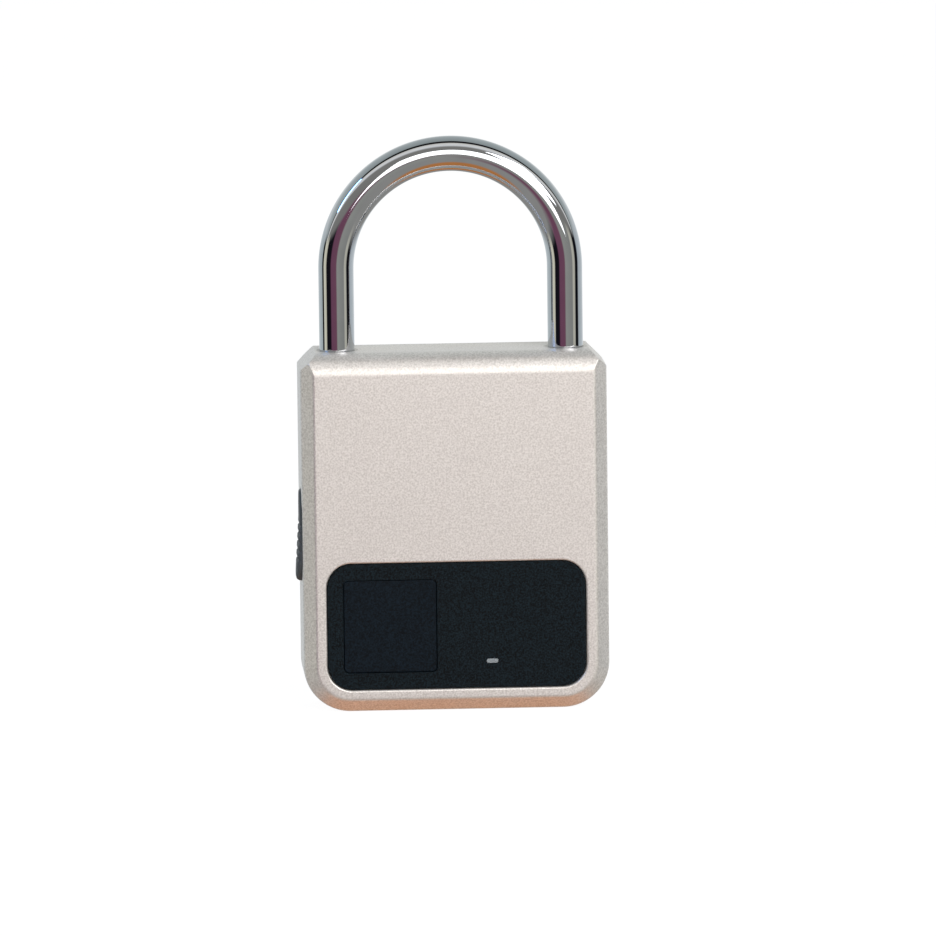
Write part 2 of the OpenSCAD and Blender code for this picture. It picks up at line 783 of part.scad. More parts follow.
module motor_can() {
    color(steel_color) translate([drive_x, drive_y, can_low]) cylinder(r = motor_r, h = can_l);
}

module motor_endcap() {
    color("white") translate([drive_x, drive_y, endcap_low]) cylinder(r = motor_r - 0.4, h = endcap_t);
}

module motor_clamp() {
    z0 = clamp_screw_z - 1.3;
    z1 = clamp_screw_z + 1.3;
    color(steel_color) difference() {
        union() {
            block([clamp_screw_x[0] - 1.3, cap_y, z0], [clamp_screw_x[1] + 1.3, cap_y + clamp_t, z1]);
            intersection() {
                translate([drive_x, drive_y, z0]) cylinder(r = motor_r + 0.02 + clamp_t, h = z1 - z0);
                block([drive_x - 5, cap_y, z0], [drive_x + 5, back_y, z1]);
            }
        }
        translate([drive_x, drive_y, z0 - cut]) cylinder(r = motor_r + 0.02, h = z1 - z0 + 2 * cut);
        for (x = clamp_screw_x)
            rod(x, clamp_screw_z, cap_y - cut, cap_y + 1, m16_r + 0.05);
    }
}

module clamp_screws() {
    color(steel_color) for (x = clamp_screw_x)
        pan_screw(x, clamp_screw_z, cap_y + clamp_t, m16_r, 0.6, clamp_t + cap_t + 2.6);
}

// ---------- port cover ----------

// The fixed upper end, with a stem through the wall and a head inside
module port_cover_root() {
    out = -side_x - root_proud;
    low = hinge_z + bead_r + bead_gap;
    color(black_color) union() {
        intersection() {
            slab(cover_y - cover_w, cover_y + cover_w) polygon([[recess_x, low + 0.05], [hinge_x, low + 0.05],
                [out, low + 0.5], [out, cover_top + 1], [recess_x, cover_top + 1]]);
            cover_prism(out - 1, recess_x, 0);
        }
        translate([recess_x - 0.01, cover_y, stem_z]) rotate([0, 90, 0])
            cylinder(r = stem_r, h = -room_x - recess_x + 0.02);
        translate([-room_x, cover_y, stem_z]) rotate([0, 90, 0]) cylinder(r1 = 1.3, r2 = 1, h = 0.6);
    }
}

// The flap: a bead at its top, a wedge that stands out further down, and the plug that fills the port
module port_cover_flap() {
    y0 = cover_y - cover_w / 2;
    y1 = cover_y + cover_w / 2;
    root_out = -side_x - root_proud;
    low_out = -side_x - flap_proud;
    color(black_color) difference() {
        union() {
            block([cover_in - 0.01, port_y - 0.75, port_z - 3.2], [cover_in + plug_l, port_y + 0.75, port_z + 3.2]);
            intersection() {
                union() {
                    rod(hinge_x, hinge_z, y0, y1, bead_r);
                    slab(y0, y1) polygon([[cover_in, hinge_z - 0.2], [cover_in, cover_low], [low_out + 0.8, cover_low],
                        [low_out + 0.2, cover_low + 0.3], [low_out, cover_low + 1], [root_out, hinge_z - 1],
                        [-side_x, hinge_z], [hinge_x, hinge_z]]);
                }
                cover_prism(low_out - 1, recess_x + 1, 0);
            }
        }
        for (i = [0 : 4]) {
            z = hinge_z - 1.6 - i * 1.2;
            out = root_out - (flap_proud - root_proud) * (hinge_z - 1 - z) / (hinge_z - 2 - cover_low);
            rod(out - 0.1, z, cover_y - 2, cover_y + 2, 0.3);
        }
    }
}

front_shell();
back_cover();
cover_gasket();
back_cover_screws();
sensor_panel();
fingerprint_sensor();
sensor_flex();
light_pipe();
status_led();
main_board();
controller_chip();
charger_chip();
board_components();
board_screws();
usb_socket();
usb_tongue();
battery();
battery_pad();
battery_leads();
motor_leads();
lock_frame();
frame_cap();
frame_screws();
shackle_spring();
retaining_pin();
shackle_seals();
motor_can();
motor_endcap();
gearbox_barrel();
motor_clamp();
clamp_screws();
latch_spring();
shackle();
spring_cap();
latch_bolt();
output_shaft();
drive_pinion();
port_cover_root();
port_cover_flap();
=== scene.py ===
import math

import bmesh
import bpy
from mathutils import Matrix, Vector


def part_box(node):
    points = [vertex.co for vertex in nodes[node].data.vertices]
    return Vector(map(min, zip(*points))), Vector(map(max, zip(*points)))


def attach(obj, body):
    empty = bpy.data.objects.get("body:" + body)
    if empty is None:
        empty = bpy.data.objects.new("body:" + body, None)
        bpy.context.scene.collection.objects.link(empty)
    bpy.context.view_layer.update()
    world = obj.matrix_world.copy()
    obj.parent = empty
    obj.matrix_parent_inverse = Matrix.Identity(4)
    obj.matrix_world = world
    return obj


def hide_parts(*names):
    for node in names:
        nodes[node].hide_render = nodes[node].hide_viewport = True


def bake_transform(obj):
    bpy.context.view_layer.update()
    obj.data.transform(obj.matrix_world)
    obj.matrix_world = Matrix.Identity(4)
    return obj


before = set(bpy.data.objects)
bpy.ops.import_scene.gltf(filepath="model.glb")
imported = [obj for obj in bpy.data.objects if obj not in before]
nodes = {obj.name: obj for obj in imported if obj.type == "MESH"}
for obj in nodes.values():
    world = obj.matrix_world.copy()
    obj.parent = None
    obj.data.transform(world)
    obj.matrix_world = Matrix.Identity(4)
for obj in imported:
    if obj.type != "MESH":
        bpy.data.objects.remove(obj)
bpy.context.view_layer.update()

MM = 0.001


# ---------- front shell ----------
# The body tub, die-cast in zinc with a bevelled front and a rounded top edge.
# It is lacquered in a champagne tone with fine metal flakes. Shaped in mm, then scaled.

def span(node):
    """Lowest and highest corner of a CAD node, in mm."""
    low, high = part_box(node)
    return low / MM, high / MM


def srgb(code):
    """A hex colour as the linear values that sockets take."""
    out = []
    for i in (0, 2, 4):
        c = int(code[i : i + 2], 16) / 255
        out.append(c / 12.92 if c <= 0.04045 else ((c + 0.055) / 1.055) ** 2.4)
    return (*out, 1.0)


def add(tree, kind, inputs=None, **settings):
    """A new node with its settings; an input is a plain value or another node's output."""
    node = tree.nodes.new(kind)
    for key, value in settings.items():
        setattr(node, key, value)
    for key, value in (inputs or {}).items():
        if isinstance(value, bpy.types.NodeSocket):
            tree.links.new(value, node.inputs[key])
        else:
            node.inputs[key].default_value = value
    return node


def surface(name, colour, rough, metal=0.0, grain_mm=0.4, bump_mm=0.004, second=None, swing=0.06):
    """A finish with fine grain: the grain lifts the surface and mixes two tones, and wider patches shift its gloss."""
    material = bpy.data.materials.new(name)
    material.use_nodes = True
    tree = material.node_tree
    shader = tree.nodes["Principled BSDF"]
    where = add(tree, "ShaderNodeTexCoord").outputs["Object"]
    grain = add(tree, "ShaderNodeTexNoise", {"Vector": where, "Scale": 1 / (grain_mm * MM), "Detail": 3.0})
    patch_mm = 6
    patches = add(tree, "ShaderNodeTexNoise", {"Vector": where, "Scale": 1 / (patch_mm * MM), "Detail": 2.0})
    grit = add(tree, "ShaderNodeMapRange", {"Value": grain.outputs["Fac"], "From Min": 0.35, "From Max": 0.65})
    tone = add(tree, "ShaderNodeMix", {0: grit.outputs["Result"], 6: srgb(colour), 7: srgb(second or colour)},
               data_type="RGBA")
    roughness = add(tree, "ShaderNodeMapRange", {"Value": patches.outputs["Fac"], "From Min": 0.3, "From Max": 0.7,
                                                 "To Min": rough - swing / 2, "To Max": rough + swing / 2})
    bump = add(tree, "ShaderNodeBump", {"Height": grain.outputs["Fac"], "Distance": bump_mm * MM})
    tree.links.new(tone.outputs[2], shader.inputs["Base Color"])
    tree.links.new(roughness.outputs["Result"], shader.inputs["Roughness"])
    tree.links.new(bump.outputs["Normal"], shader.inputs["Normal"])
    shader.inputs["Metallic"].default_value = metal
    return material


def linked(name, mesh):
    """A new object in the scene, at the origin."""
    obj = bpy.data.objects.new(name, mesh)
    bpy.context.scene.collection.objects.link(obj)
    return obj


def loft(name, rings):
    """A closed solid through rings of the same number of points."""
    n = len(rings[0])
    points = [p for ring in rings for p in ring]
    faces = [(i * n + j, i * n + (j + 1) % n, (i + 1) * n + (j + 1) % n, (i + 1) * n + j)
             for i in range(len(rings) - 1) for j in range(n)]
    faces += [tuple(range(n)), tuple(range((len(rings) - 1) * n, len(rings) * n))]
    mesh = bpy.data.meshes.new(name)
    mesh.from_pydata(points, [], faces)
    shape = bmesh.new()
    shape.from_mesh(mesh)
    bmesh.ops.recalc_face_normals(shape, faces=shape.faces)
    shape.to_mesh(mesh)
    shape.free()
    return linked(name, mesh)


def carve(obj, tool, how):
    """Cuts, joins or intersects obj with tool, which is used up."""
    step = obj.modifiers.new("carve", "BOOLEAN")
    step.solver = "EXACT"
    step.operation = how
    step.object = tool
    result = bpy.data.meshes.new_from_object(obj.evaluated_get(bpy.context.evaluated_depsgraph_get()))
    obj.modifiers.clear()
    obj.data = result
    bpy.data.objects.remove(tool)


def cad_shape(node, name):
    """A copy of a CAD node in mm, with the vertices along its edges joined up."""
    mesh = nodes[node].data.copy()
    mesh.materials.clear()
    mesh.transform(Matrix.Scale(1 / MM, 4))
    shape = bmesh.new()
    shape.from_mesh(mesh)
    bmesh.ops.remove_doubles(shape, verts=shape.verts, dist=0.001)
    shape.to_mesh(mesh)
    shape.free()
    return linked(name, mesh)


def complete(obj, material, body, slot, *stands_for, crease=30, rides=True):
    """Scales a piece from mm, gives it its material, smooths it between its creases, attaches it to its body when it
    rides and hides the CAD parts it stands for.
    """
    obj.data.transform(Matrix.Scale(MM, 4))
    obj.data.materials.clear()
    obj.data.materials.append(material)
    obj.data.shade_smooth()
    obj.data.set_sharp_from_angle(angle=math.radians(crease))
    shading = obj.modifiers.new("flat faces stay flat", "WEIGHTED_NORMAL")
    shading.keep_sharp = True
    if rides:
        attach(obj, body)
    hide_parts(*stands_for)


shell_low, shell_high = span("front_shell")
FRONT = shell_low.y
RIM = shell_high.y
BACK = span("back_cover")[1].y
SIDE = shell_high.x
TOP = shell_high.z
SKIN = 0.004          # the skin lies this far inside the solid
FRONT_BEVEL = 1.8
TOP_ROUND = 3.1
CORNER_R = 6.6
CORNER_CUT = 2.3
BACK_BEVEL = 0.9
EDGE_R = 0.75


def body_ring(y, inset, drop):
    """The body's outline at depth y, drawn in by inset at the sides and base and by drop at the top."""
    inset, drop = inset + SKIN, drop + SKIN
    lean = CORNER_CUT - inset - drop
    cut = (lean + math.sqrt(lean * lean + 0.09)) / 2 + 0.03
    ring = []
    for i in range(33):
        a = math.radians(-90 + i * 90 / 32)
        ring.append((SIDE - CORNER_R + (CORNER_R - inset) * math.cos(a), y,
                     CORNER_R + (CORNER_R - inset) * math.sin(a)))
    for f in (0.0, 0.15, 0.5, 0.85, 1.0):
        ring.append((SIDE - inset - cut * f, y, TOP - drop - cut * (1 - f)))
    return ring + [(-x, y, z) for x, y, z in reversed(ring)]


def soft_bevel(depth, bevel, r):
    """Inset of a 45 degree bevel at a depth behind the face, with both its edges rounded by r."""
    reach = r * math.tan(math.radians(22.5))
    turn = r * (1 - math.cos(math.radians(45)))
    if depth <= turn:
        return bevel + reach - math.sqrt(max(r * r - (r - depth) ** 2, 0.0))
    if depth >= bevel + reach:
        return 0.0
    inset = bevel - depth
    if inset < turn:
        across = bevel + reach - depth
        return r - math.sqrt(max(r * r - across * across, 0.0)) if across < r else inset
    return inset


def round_top(depth):
    """Drop of the top edge at a depth behind the face."""
    if depth >= TOP_ROUND:
        return 0.0
    return TOP_ROUND - math.sqrt(TOP_ROUND**2 - (TOP_ROUND - depth) ** 2)


def shell_rings():
    """The outer skin of the tub, from the front face back to its rim."""
    depths = {round(TOP_ROUND * (1 - math.cos(math.radians(a))), 4) for a in range(0, 91, 5)}
    depths |= {round(0.11 * i, 4) for i in range(20)}
    rings = [body_ring(FRONT + SKIN + d, soft_bevel(d, FRONT_BEVEL, EDGE_R), round_top(d)) for d in sorted(depths)]
    for back_off, inset in ((0.12, 0.0), (0.06, 0.02), (0.012, 0.09)):
        rings.append(body_ring(RIM - back_off, inset, inset))
    return rings


def rounded(y, low, high, r, grow=0.0, steps=12):
    """A rectangle with round corners in the front view, from low to high as (x, z), at depth y."""
    ring = []
    for k, (sx, sz) in enumerate(((1, -1), (1, 1), (-1, 1), (-1, -1))):
        cx = (high[0] if sx > 0 else low[0]) + sx * (grow - r)
        cz = (high[1] if sz > 0 else low[1]) + sz * (grow - r)
        for i in range(steps + 1):
            a = math.radians(-90 + 90 * k + 90 * i / steps)
            ring.append((cx + r * math.cos(a), y, cz + r * math.sin(a)))
    return ring


def edge_rounding(name, face, low, high, r, grow, edge):
    """A tool that rounds the front edge of a recess."""
    rings = [rounded(face - 0.5, low, high, r + edge, grow + edge)]
    for i in range(7):
        a = math.radians(15 * i)
        off = edge * (1 - math.sin(a))
        depth = edge * (1 - math.cos(a))
        rings.append(rounded(face + depth, low, high, r + off, grow + off))
    return loft(name, rings)


# Die-cast zinc under a champagne lacquer with metal flakes: a soft silver sheen with a sandy grain.
# The flakes are finer than 0.26 mm and are drawn this coarse so that they show.
zinc = surface("Champagne lacquered zinc", "D8D2CC", 0.44, metal=0.72, grain_mm=0.26, bump_mm=0.007,
               second="F5F0EB", swing=0.05)
panel_low, panel_high = span("sensor_panel")
PANEL_R = 3.5
PANEL_GAP = 0.1
shell = cad_shape("front_shell", "Front_shell")
carve(shell, loft("shell skin", shell_rings()), "INTERSECT")
PANEL = ((panel_low.x, panel_low.z), (panel_high.x, panel_high.z))
carve(shell, edge_rounding("recess edge", FRONT + SKIN, *PANEL, PANEL_R, PANEL_GAP, 0.28), "DIFFERENCE")
complete(shell, zinc, "housing", "die_cast_zinc", "front_shell")


# ---------- front panel ----------
# A flat moulding in black plastic with a fine grain, dropped into the shell's recess.
# Its front edge and the edges of its two openings are slightly rounded.

def plate(name, y0, y1, low, high, r, edge):
    """A flat piece in the front view whose front edge is rounded by edge."""
    rings = [rounded(y1, low, high, r)]
    for i in range(6):
        a = math.radians(18 * i)
        rings.append(rounded(y0 + edge * (1 - math.sin(a)), low, high, max(r - edge * (1 - math.cos(a)), 0.05),
                             -edge * (1 - math.cos(a))))
    return loft(name, rings)


# Moulded black plastic with a fine grain: dark and nearly matt, with a slight blue cast.
black_plastic = surface("Grained black plastic", "010203", 0.55, grain_mm=0.22, bump_mm=0.03, second="152229")
black_plastic.node_tree.nodes["Principled BSDF"].inputs["Specular IOR Level"].default_value = 0.12
flange_low, flange_high = span("fingerprint_sensor")
FLANGE_W = 0.5
SENSOR = ((flange_low.x + FLANGE_W, flange_low.z + FLANGE_W), (flange_high.x - FLANGE_W, flange_high.z - FLANGE_W))
pipe_low, pipe_high = span("light_pipe")
LIGHT = ((pipe_low.x + 0.7, pipe_low.z + 0.6), (pipe_high.x - 0.7, pipe_high.z - 0.6))
OPENING_GAP = 0.05
panel = plate("Front_panel", panel_low.y, panel_high.y, *PANEL, PANEL_R, 0.1)
for low, high, r in ((*SENSOR, 0.75), (*LIGHT, 0.3)):
    opening = [rounded(y, low, high, r, OPENING_GAP) for y in (panel_low.y - 1, panel_high.y + 1)]
    carve(panel, loft("opening", opening), "DIFFERENCE")
    carve(panel, edge_rounding("opening edge", panel_low.y, low, high, r, OPENING_GAP, 0.06), "DIFFERENCE")
complete(panel, black_plastic, "housing", "black_plastic", "sensor_panel")


# ---------- fingerprint sensor ----------
# A square touch sensor with a satin black glass face, standing a little proud of the panel.
# A thin flange behind the panel keeps it from being pulled out.

# Satin glass over the sensor: as dark as the panel, a little smoother and bluer.
sensor_face = surface("Satin sensor glass", "03080D", 0.42, grain_mm=0.2, bump_mm=0.006, second="101D27", swing=0.04)
sensor_face.node_tree.nodes["Principled BSDF"].inputs["Specular IOR Level"].default_value = 0.12
sensor = plate("Sensor", flange_low.y, panel_high.y + 0.3, *SENSOR, 0.7, 0.14)
carve(sensor, plate("flange", panel_high.y + 0.004, flange_high.y, (flange_low.x, flange_low.z),
                    (flange_high.x, flange_high.z), 1.0, 0.05), "UNION")
complete(sensor, sensor_face, "housing", "sensor_glass", "fingerprint_sensor")


# ---------- sensor cable ----------
# A flat orange film cable, folded once between the sensor and the board.
# It is too thin to have broken edges.

def show(node, material, edge_mm=0.04, crease=30):
    """A CAD piece keeps its own shape; its edges are broken and it gets its finish."""
    piece = nodes[node]
    piece.data.materials.clear()
    piece.data.materials.append(material)
    join = piece.modifiers.new("join", "WELD")
    join.merge_threshold = 0.002 * MM
    if edge_mm:
        edges = piece.modifiers.new("broken edges", "BEVEL")
        edges.width = edge_mm * MM
        edges.segments = 2
        edges.limit_method = "ANGLE"
        edges.angle_limit = math.radians(crease)


# Polyimide film: amber orange with a soft gloss.
orange_film = surface("Orange film cable", "B4702A", 0.35, grain_mm=1.0, bump_mm=0.002)
show("sensor_flex", orange_film, 0)

# ---------- light pipe ----------
# A clear plastic rod that carries the status light to the slot in the panel.
# Its face is frosted by moulding.

# Clear moulded acrylic: lets light through and has a faint cool tone.
clear_plastic = surface("Clear plastic", "E4ECF2", 0.18, grain_mm=0.3, bump_mm=0.001)
clear_plastic.node_tree.nodes["Principled BSDF"].inputs["Transmission Weight"].default_value = 0.7
clear_plastic.node_tree.nodes["Principled BSDF"].inputs["IOR"].default_value = 1.49
show("light_pipe", clear_plastic, 0)

# ---------- status light ----------
# A small surface-mounted light, soldered to the front of the board.
# It sits behind the light pipe.

# Fired ceramic with tinned ends: a dull cream that mixes two close tones.
ceramic = surface("Pale ceramic and tin", "CFC7B4", 0.45, grain_mm=0.5, bump_mm=0.004, second="B9AE96")
show("status_led", ceramic, 0.03)

# ---------- main board ----------
# A green glass-fibre board with a satin solder mask.
# It is screwed to two posts of the shell.

# Glass fibre under solder mask: mid green and satin, slightly mottled.
board_green = surface("Green circuit board", "1E5A38", 0.38, grain_mm=0.9, bump_mm=0.004, second="24663F")
show("main_board", board_green, 0.03)

# ---------- controller chip ----------
# A flat package in black epoxy, soldered to the board.
# It reads the sensor and drives the motor.

# Moulded epoxy: soft black, without gloss.
chip = surface("Black chip epoxy", "1C1D1F", 0.55, grain_mm=0.12, bump_mm=0.004, second="242527")
show("controller_chip", chip)

# ---------- charger chip ----------
# A smaller package of the same epoxy, below the charging socket.
# It is soldered to the board and charges the battery.

show("charger_chip", chip)

# ---------- board components ----------
# Small ceramic capacitors and resistors, a coil and a crystal.
# All are soldered to the board.

show("board_components", ceramic, 0.03)

# ---------- board screws ----------
# Two small nickel-plated screws with a cross slot.
# They hold the board to the shell's posts.

# Nickel plate on steel: a cool, fairly bright grey with soft reflections.
steel = surface("Nickel-plated steel", "B9BBBE", 0.27, metal=1.0, grain_mm=0.5, bump_mm=0.001, second="AFB1B5")
show("board_screws", steel)

# ---------- charging socket ----------
# A folded steel shell, open towards the side of the body.
# It is soldered to the edge of the board.

show("usb_socket", steel)

# ---------- socket tongue ----------
# The black contact tongue in the middle of the socket.
# Moulded in the same plastic as the front panel.

show("usb_tongue", black_plastic)

# ---------- battery ----------
# A flat lithium pouch in silver film.
# Its edges are soft where the film is folded.

# Aluminium film under clear plastic: silver, with slow waves where it is drawn over the cell.
battery_film = surface("Silver battery film", "B4B8BC", 0.32, metal=0.7, grain_mm=2.0, bump_mm=0.02, second="A6AAB0")
show("battery", battery_film, 0.35)

# ---------- battery pad ----------
# Pale foam tape that holds the battery against the back cover.
# It is cut from a roll, with sticky faces.

# Foamed plastic: matt and off-white, with small open cells.
foam = surface("Pale foam tape", "D6D6D0", 0.9, grain_mm=0.25, bump_mm=0.03, second="C4C4BE")
show("battery_pad", foam, 0.1)

# ---------- battery leads ----------
# Two thin wires from the battery to the board.
# Each is in a soft plastic sleeve, and they are soldered at both ends.

# Soft red plastic: a dull gloss, with no grain that the eye can see.
sleeve = surface("Wire sleeve", "A8322C", 0.45, grain_mm=0.6, bump_mm=0.002)
show("battery_leads", sleeve, 0)

# ---------- lock frame ----------
# A zinc casting that holds both shackle legs, the latch channel and the spring tube.
# Left as cast, with a dull grey skin.

# Bare cast zinc: a mid grey metal, dull and slightly mottled.
raw_zinc = surface("Zinc as cast", "8C8E91", 0.5, metal=0.9, grain_mm=0.35, bump_mm=0.01, second="7E8084")
show("lock_frame", raw_zinc)

# ---------- shackle seals ----------
# Two rubber rings that keep water out of the leg holes.
# They sit in grooves of the frame, round the legs.

# Moulded rubber: dark grey and matt.
rubber = surface("Dark grey rubber", "3B3F42", 0.62, grain_mm=0.14, bump_mm=0.006, second="44484B")
show("shackle_seals", rubber)

# ---------- retaining pin ----------
# A ground steel pin across the frame.
# It stops the captive leg at the end of its lift.

show("retaining_pin", steel)

# ---------- shackle spring ----------
# A coil of round spring wire under the captive leg.
# It pushes the shackle up when the latch lets go.

show("shackle_spring", steel, 0)

# ---------- spring cap ----------
# A white plastic button between the spring and the end of the leg.
# It gives the upper end of the spring a flat seat.

# Moulded acetal: milky white, slightly glossy.
white_plastic = surface("White plastic", "DEDBD2", 0.4, grain_mm=0.5, bump_mm=0.002)
show("spring_cap", white_plastic)

# ---------- shackle ----------
# A round steel bar bent to a U, polished and chrome-plated. The free leg has a chamfered end and a
# notch for the latch; the captive leg is turned down to a neck over the length of its lift.

def bar_along_path():
    """Geometry Nodes: a round bar whose thickness follows the radius of each point of a path."""
    group = bpy.data.node_groups.new("Round bar along a path", "GeometryNodeTree")
    group.interface.new_socket("Path", in_out="INPUT", socket_type="NodeSocketGeometry")
    group.interface.new_socket("Sides", in_out="INPUT", socket_type="NodeSocketInt")
    group.interface.new_socket("Finish", in_out="INPUT", socket_type="NodeSocketMaterial")
    group.interface.new_socket("Bar", in_out="OUTPUT", socket_type="NodeSocketGeometry")
    inputs = add(group, "NodeGroupInput").outputs
    circle = add(group, "GeometryNodeCurvePrimitiveCircle", {"Resolution": inputs["Sides"], "Radius": 1.0})
    bar = add(group, "GeometryNodeCurveToMesh", {"Curve": inputs["Path"], "Profile Curve": circle.outputs["Curve"],
                                                 "Fill Caps": True})
    if "Scale" in bar.inputs:  # the radius is an input of its own in this release
        group.links.new(add(group, "GeometryNodeInputRadius").outputs["Radius"], bar.inputs["Scale"])
    real = add(group, "GeometryNodeRealizeInstances", {"Geometry": bar.outputs["Mesh"]})
    finish = add(group, "GeometryNodeSetMaterial", {"Geometry": real.outputs["Geometry"], "Material": inputs["Finish"]})
    add(group, "NodeGroupOutput", {"Bar": finish.outputs["Geometry"]})
    return group


def swept_bar(name, points, sides, finish):
    """The bar through (x, y, z, radius) points, in mm."""
    path = bpy.data.curves.new(name + " path", "CURVE")
    path.dimensions = "3D"
    line = path.splines.new("POLY")
    line.points.add(len(points) - 1)
    for point, (x, y, z, r) in zip(line.points, points):
        point.co = (x, y, z, 1.0)
        point.radius = r
    carrier = linked(name + " path", path)
    group = bar_along_path()
    step = carrier.modifiers.new("bar", "NODES")
    step.node_group = group
    keys = {s.name: s.identifier for s in group.interface.items_tree if s.in_out == "INPUT"}
    step[keys["Sides"]] = sides
    step[keys["Finish"]] = finish
    mesh = bpy.data.meshes.new_from_object(carrier.evaluated_get(bpy.context.evaluated_depsgraph_get()))
    bpy.data.objects.remove(carrier)
    return linked(name, mesh)


# Chrome on polished steel: a clear mirror, with slow waves left by the polishing wheel.
chrome = surface("Polished chrome", "C9CCD0", 0.045, metal=1.0, grain_mm=3.0, bump_mm=0.0015, second="C4C7CB",
                 swing=0.02)
bow_low, bow_high = span("shackle")
bolt_low, bolt_high = span("latch_bolt")
pin_low, pin_high = span("retaining_pin")
BAR_R = bow_high.y - SKIN
LEG_X = bow_high.x - bow_high.y
ARC_Z = bow_high.z - bow_high.x
TOE_Z = TOP - 8.5     # end of the free leg
LIFT = 9.5
NECK_R = BAR_R - 0.8
NOTCH_DEPTH = 1.7
BEND_STEPS = 96
BEND_STEP = 180 / BEND_STEPS
profile = [(-LEG_X, 0, TOE_Z, BAR_R - 0.5), (-LEG_X, 0, TOE_Z + 0.5, BAR_R), (-LEG_X, 0, TOE_Z + 0.6, BAR_R)]
profile += [(-LEG_X * math.cos(math.radians(a * BEND_STEP)), 0,
             ARC_Z + LEG_X * math.sin(math.radians(a * BEND_STEP)), BAR_R) for a in range(BEND_STEPS + 1)]
profile += [(LEG_X, 0, z, r) for z, r in (
    (pin_high.z + 0.12, BAR_R), (pin_high.z + 0.1, BAR_R - 0.02), (pin_high.z + 0.09, NECK_R),
    (pin_low.z - LIFT - 0.09, NECK_R), (pin_low.z - LIFT - 0.1, BAR_R - 0.02), (pin_low.z - LIFT - 0.12, BAR_R),
    (bow_low.z + 0.1, BAR_R), (bow_low.z, BAR_R - 0.1))]
shackle = swept_bar("Shackle", profile, 96, chrome)
notch_low = (-LEG_X + BAR_R - NOTCH_DEPTH, bolt_low.z - 0.1)
notch_high = (-LEG_X + BAR_R + 1, bolt_high.z + 0.1)
carve(shackle, loft("notch", [rounded(y, notch_low, notch_high, 0.08) for y in (-4.0, 4.0)]), "DIFFERENCE")
complete(shackle, chrome, "shackle", "chrome_bar", "shackle")

# ---------- motor can ----------
# A can drawn from thin steel, with rounded rims.
# It stands upright in the middle of the body, below the latch.

show("motor_can", steel, 0.12)

# ---------- motor end cap ----------
# A white moulded cap on the lower end of the can.
# The two leads come out of it.

show("motor_endcap", white_plastic)

# ---------- gearbox barrel ----------
# A steel barrel on the upper end of the motor.
# It holds the small gears that slow the motor down.

show("gearbox_barrel", steel, 0.12)

# ---------- motor leads ----------
# Two thin wires from the end cap to the board.
# They have the same sleeve as the battery's.

show("motor_leads", sleeve, 0)

# ---------- output shaft ----------
# A ground steel shaft that comes out of the top of the gearbox.
# It carries the pinion.

show("output_shaft", steel, 0.03)

# ---------- drive pinion ----------
# A small brass gear pressed on the shaft.
# Its teeth move the rack of the latch.

# Machined brass: warm yellow and bright.
brass = surface("Cut brass", "C9A24B", 0.3, metal=1.0, grain_mm=0.4, bump_mm=0.002, second="BD9642")
show("drive_pinion", brass, 0.02)

# ---------- latch bolt ----------
# A ground steel bolt with a rack on its tail.
# Its nose enters the notch of the free leg.

show("latch_bolt", steel)

# ---------- latch spring ----------
# A fine wire spring behind the bolt's tail.
# It pushes the bolt towards the free leg.

show("latch_spring", steel, 0)

# ---------- frame cap ----------
# A stamped steel plate that closes the latch channel.
# It keeps the bolt and its spring in place.

show("frame_cap", steel)

# ---------- frame screws ----------
# Two small cross-slot screws.
# They hold the cap to the frame.

show("frame_screws", steel)

# ---------- motor clamp ----------
# A stamped steel strap bent over the gearbox.
# It holds the motor against the frame.

show("motor_clamp", steel)

# ---------- clamp screws ----------
# Two small cross-slot screws.
# They hold the clamp at its ends.

show("clamp_screws", steel)

# ---------- cover gasket ----------
# A moulded rubber ring between the shell and the back cover.
# It is pressed flat when the cover is screwed on.

show("cover_gasket", rubber)

# ---------- back cover ----------
# A bevelled zinc plate in the same lacquer as the shell.
# It is held by four countersunk screws.

def cover_rings():
    """The outer skin of the plate, from inside the tub out to the bevelled back."""
    rings = [body_ring(-2.0, 0.09, 0.09), body_ring(RIM + 0.012, 0.09, 0.09), body_ring(RIM + 0.06, 0.02, 0.02)]
    for i in range(24):
        depth = BACK - RIM - 0.12 - i * (BACK - RIM - 0.12) / 23
        inset = soft_bevel(depth, BACK_BEVEL, 0.5)
        rings.append(body_ring(BACK - SKIN - depth, inset, inset))
    return rings


cover = cad_shape("back_cover", "Back_cover")
carve(cover, loft("cover skin", cover_rings()), "INTERSECT")
complete(cover, zinc, "housing", "die_cast_zinc", "back_cover")

# ---------- back cover screws ----------
# Four countersunk steel screws with a hexagon socket.
# Their heads lie just below the face of the cover.

show("back_cover_screws", steel)

# ---------- port cover ----------
# One moulding in soft dark rubber. Its upper end is held in the side of the body by a stem, and
# the long lower end swells outwards and has five grip grooves. It is built as one still piece, its plug in the charging
# port.

root_low, root_high = span("port_cover_root")
flap_low, flap_high = span("port_cover_flap")
BEAD_DROP = 0.68      # from the root's lower end to the middle of the bead that it bends at
HINGE_Z = root_low.z - BEAD_DROP
GROOVES = 5
GROOVE_PITCH = 1.2
GROOVE_HALF = 0.3
PAD = 0.92            # how far the cover lies inside the side of the body
COVER_Y = (root_low.y + root_high.y) / 2
HALF_W = (root_high.y - root_low.y) / 2 - 0.01


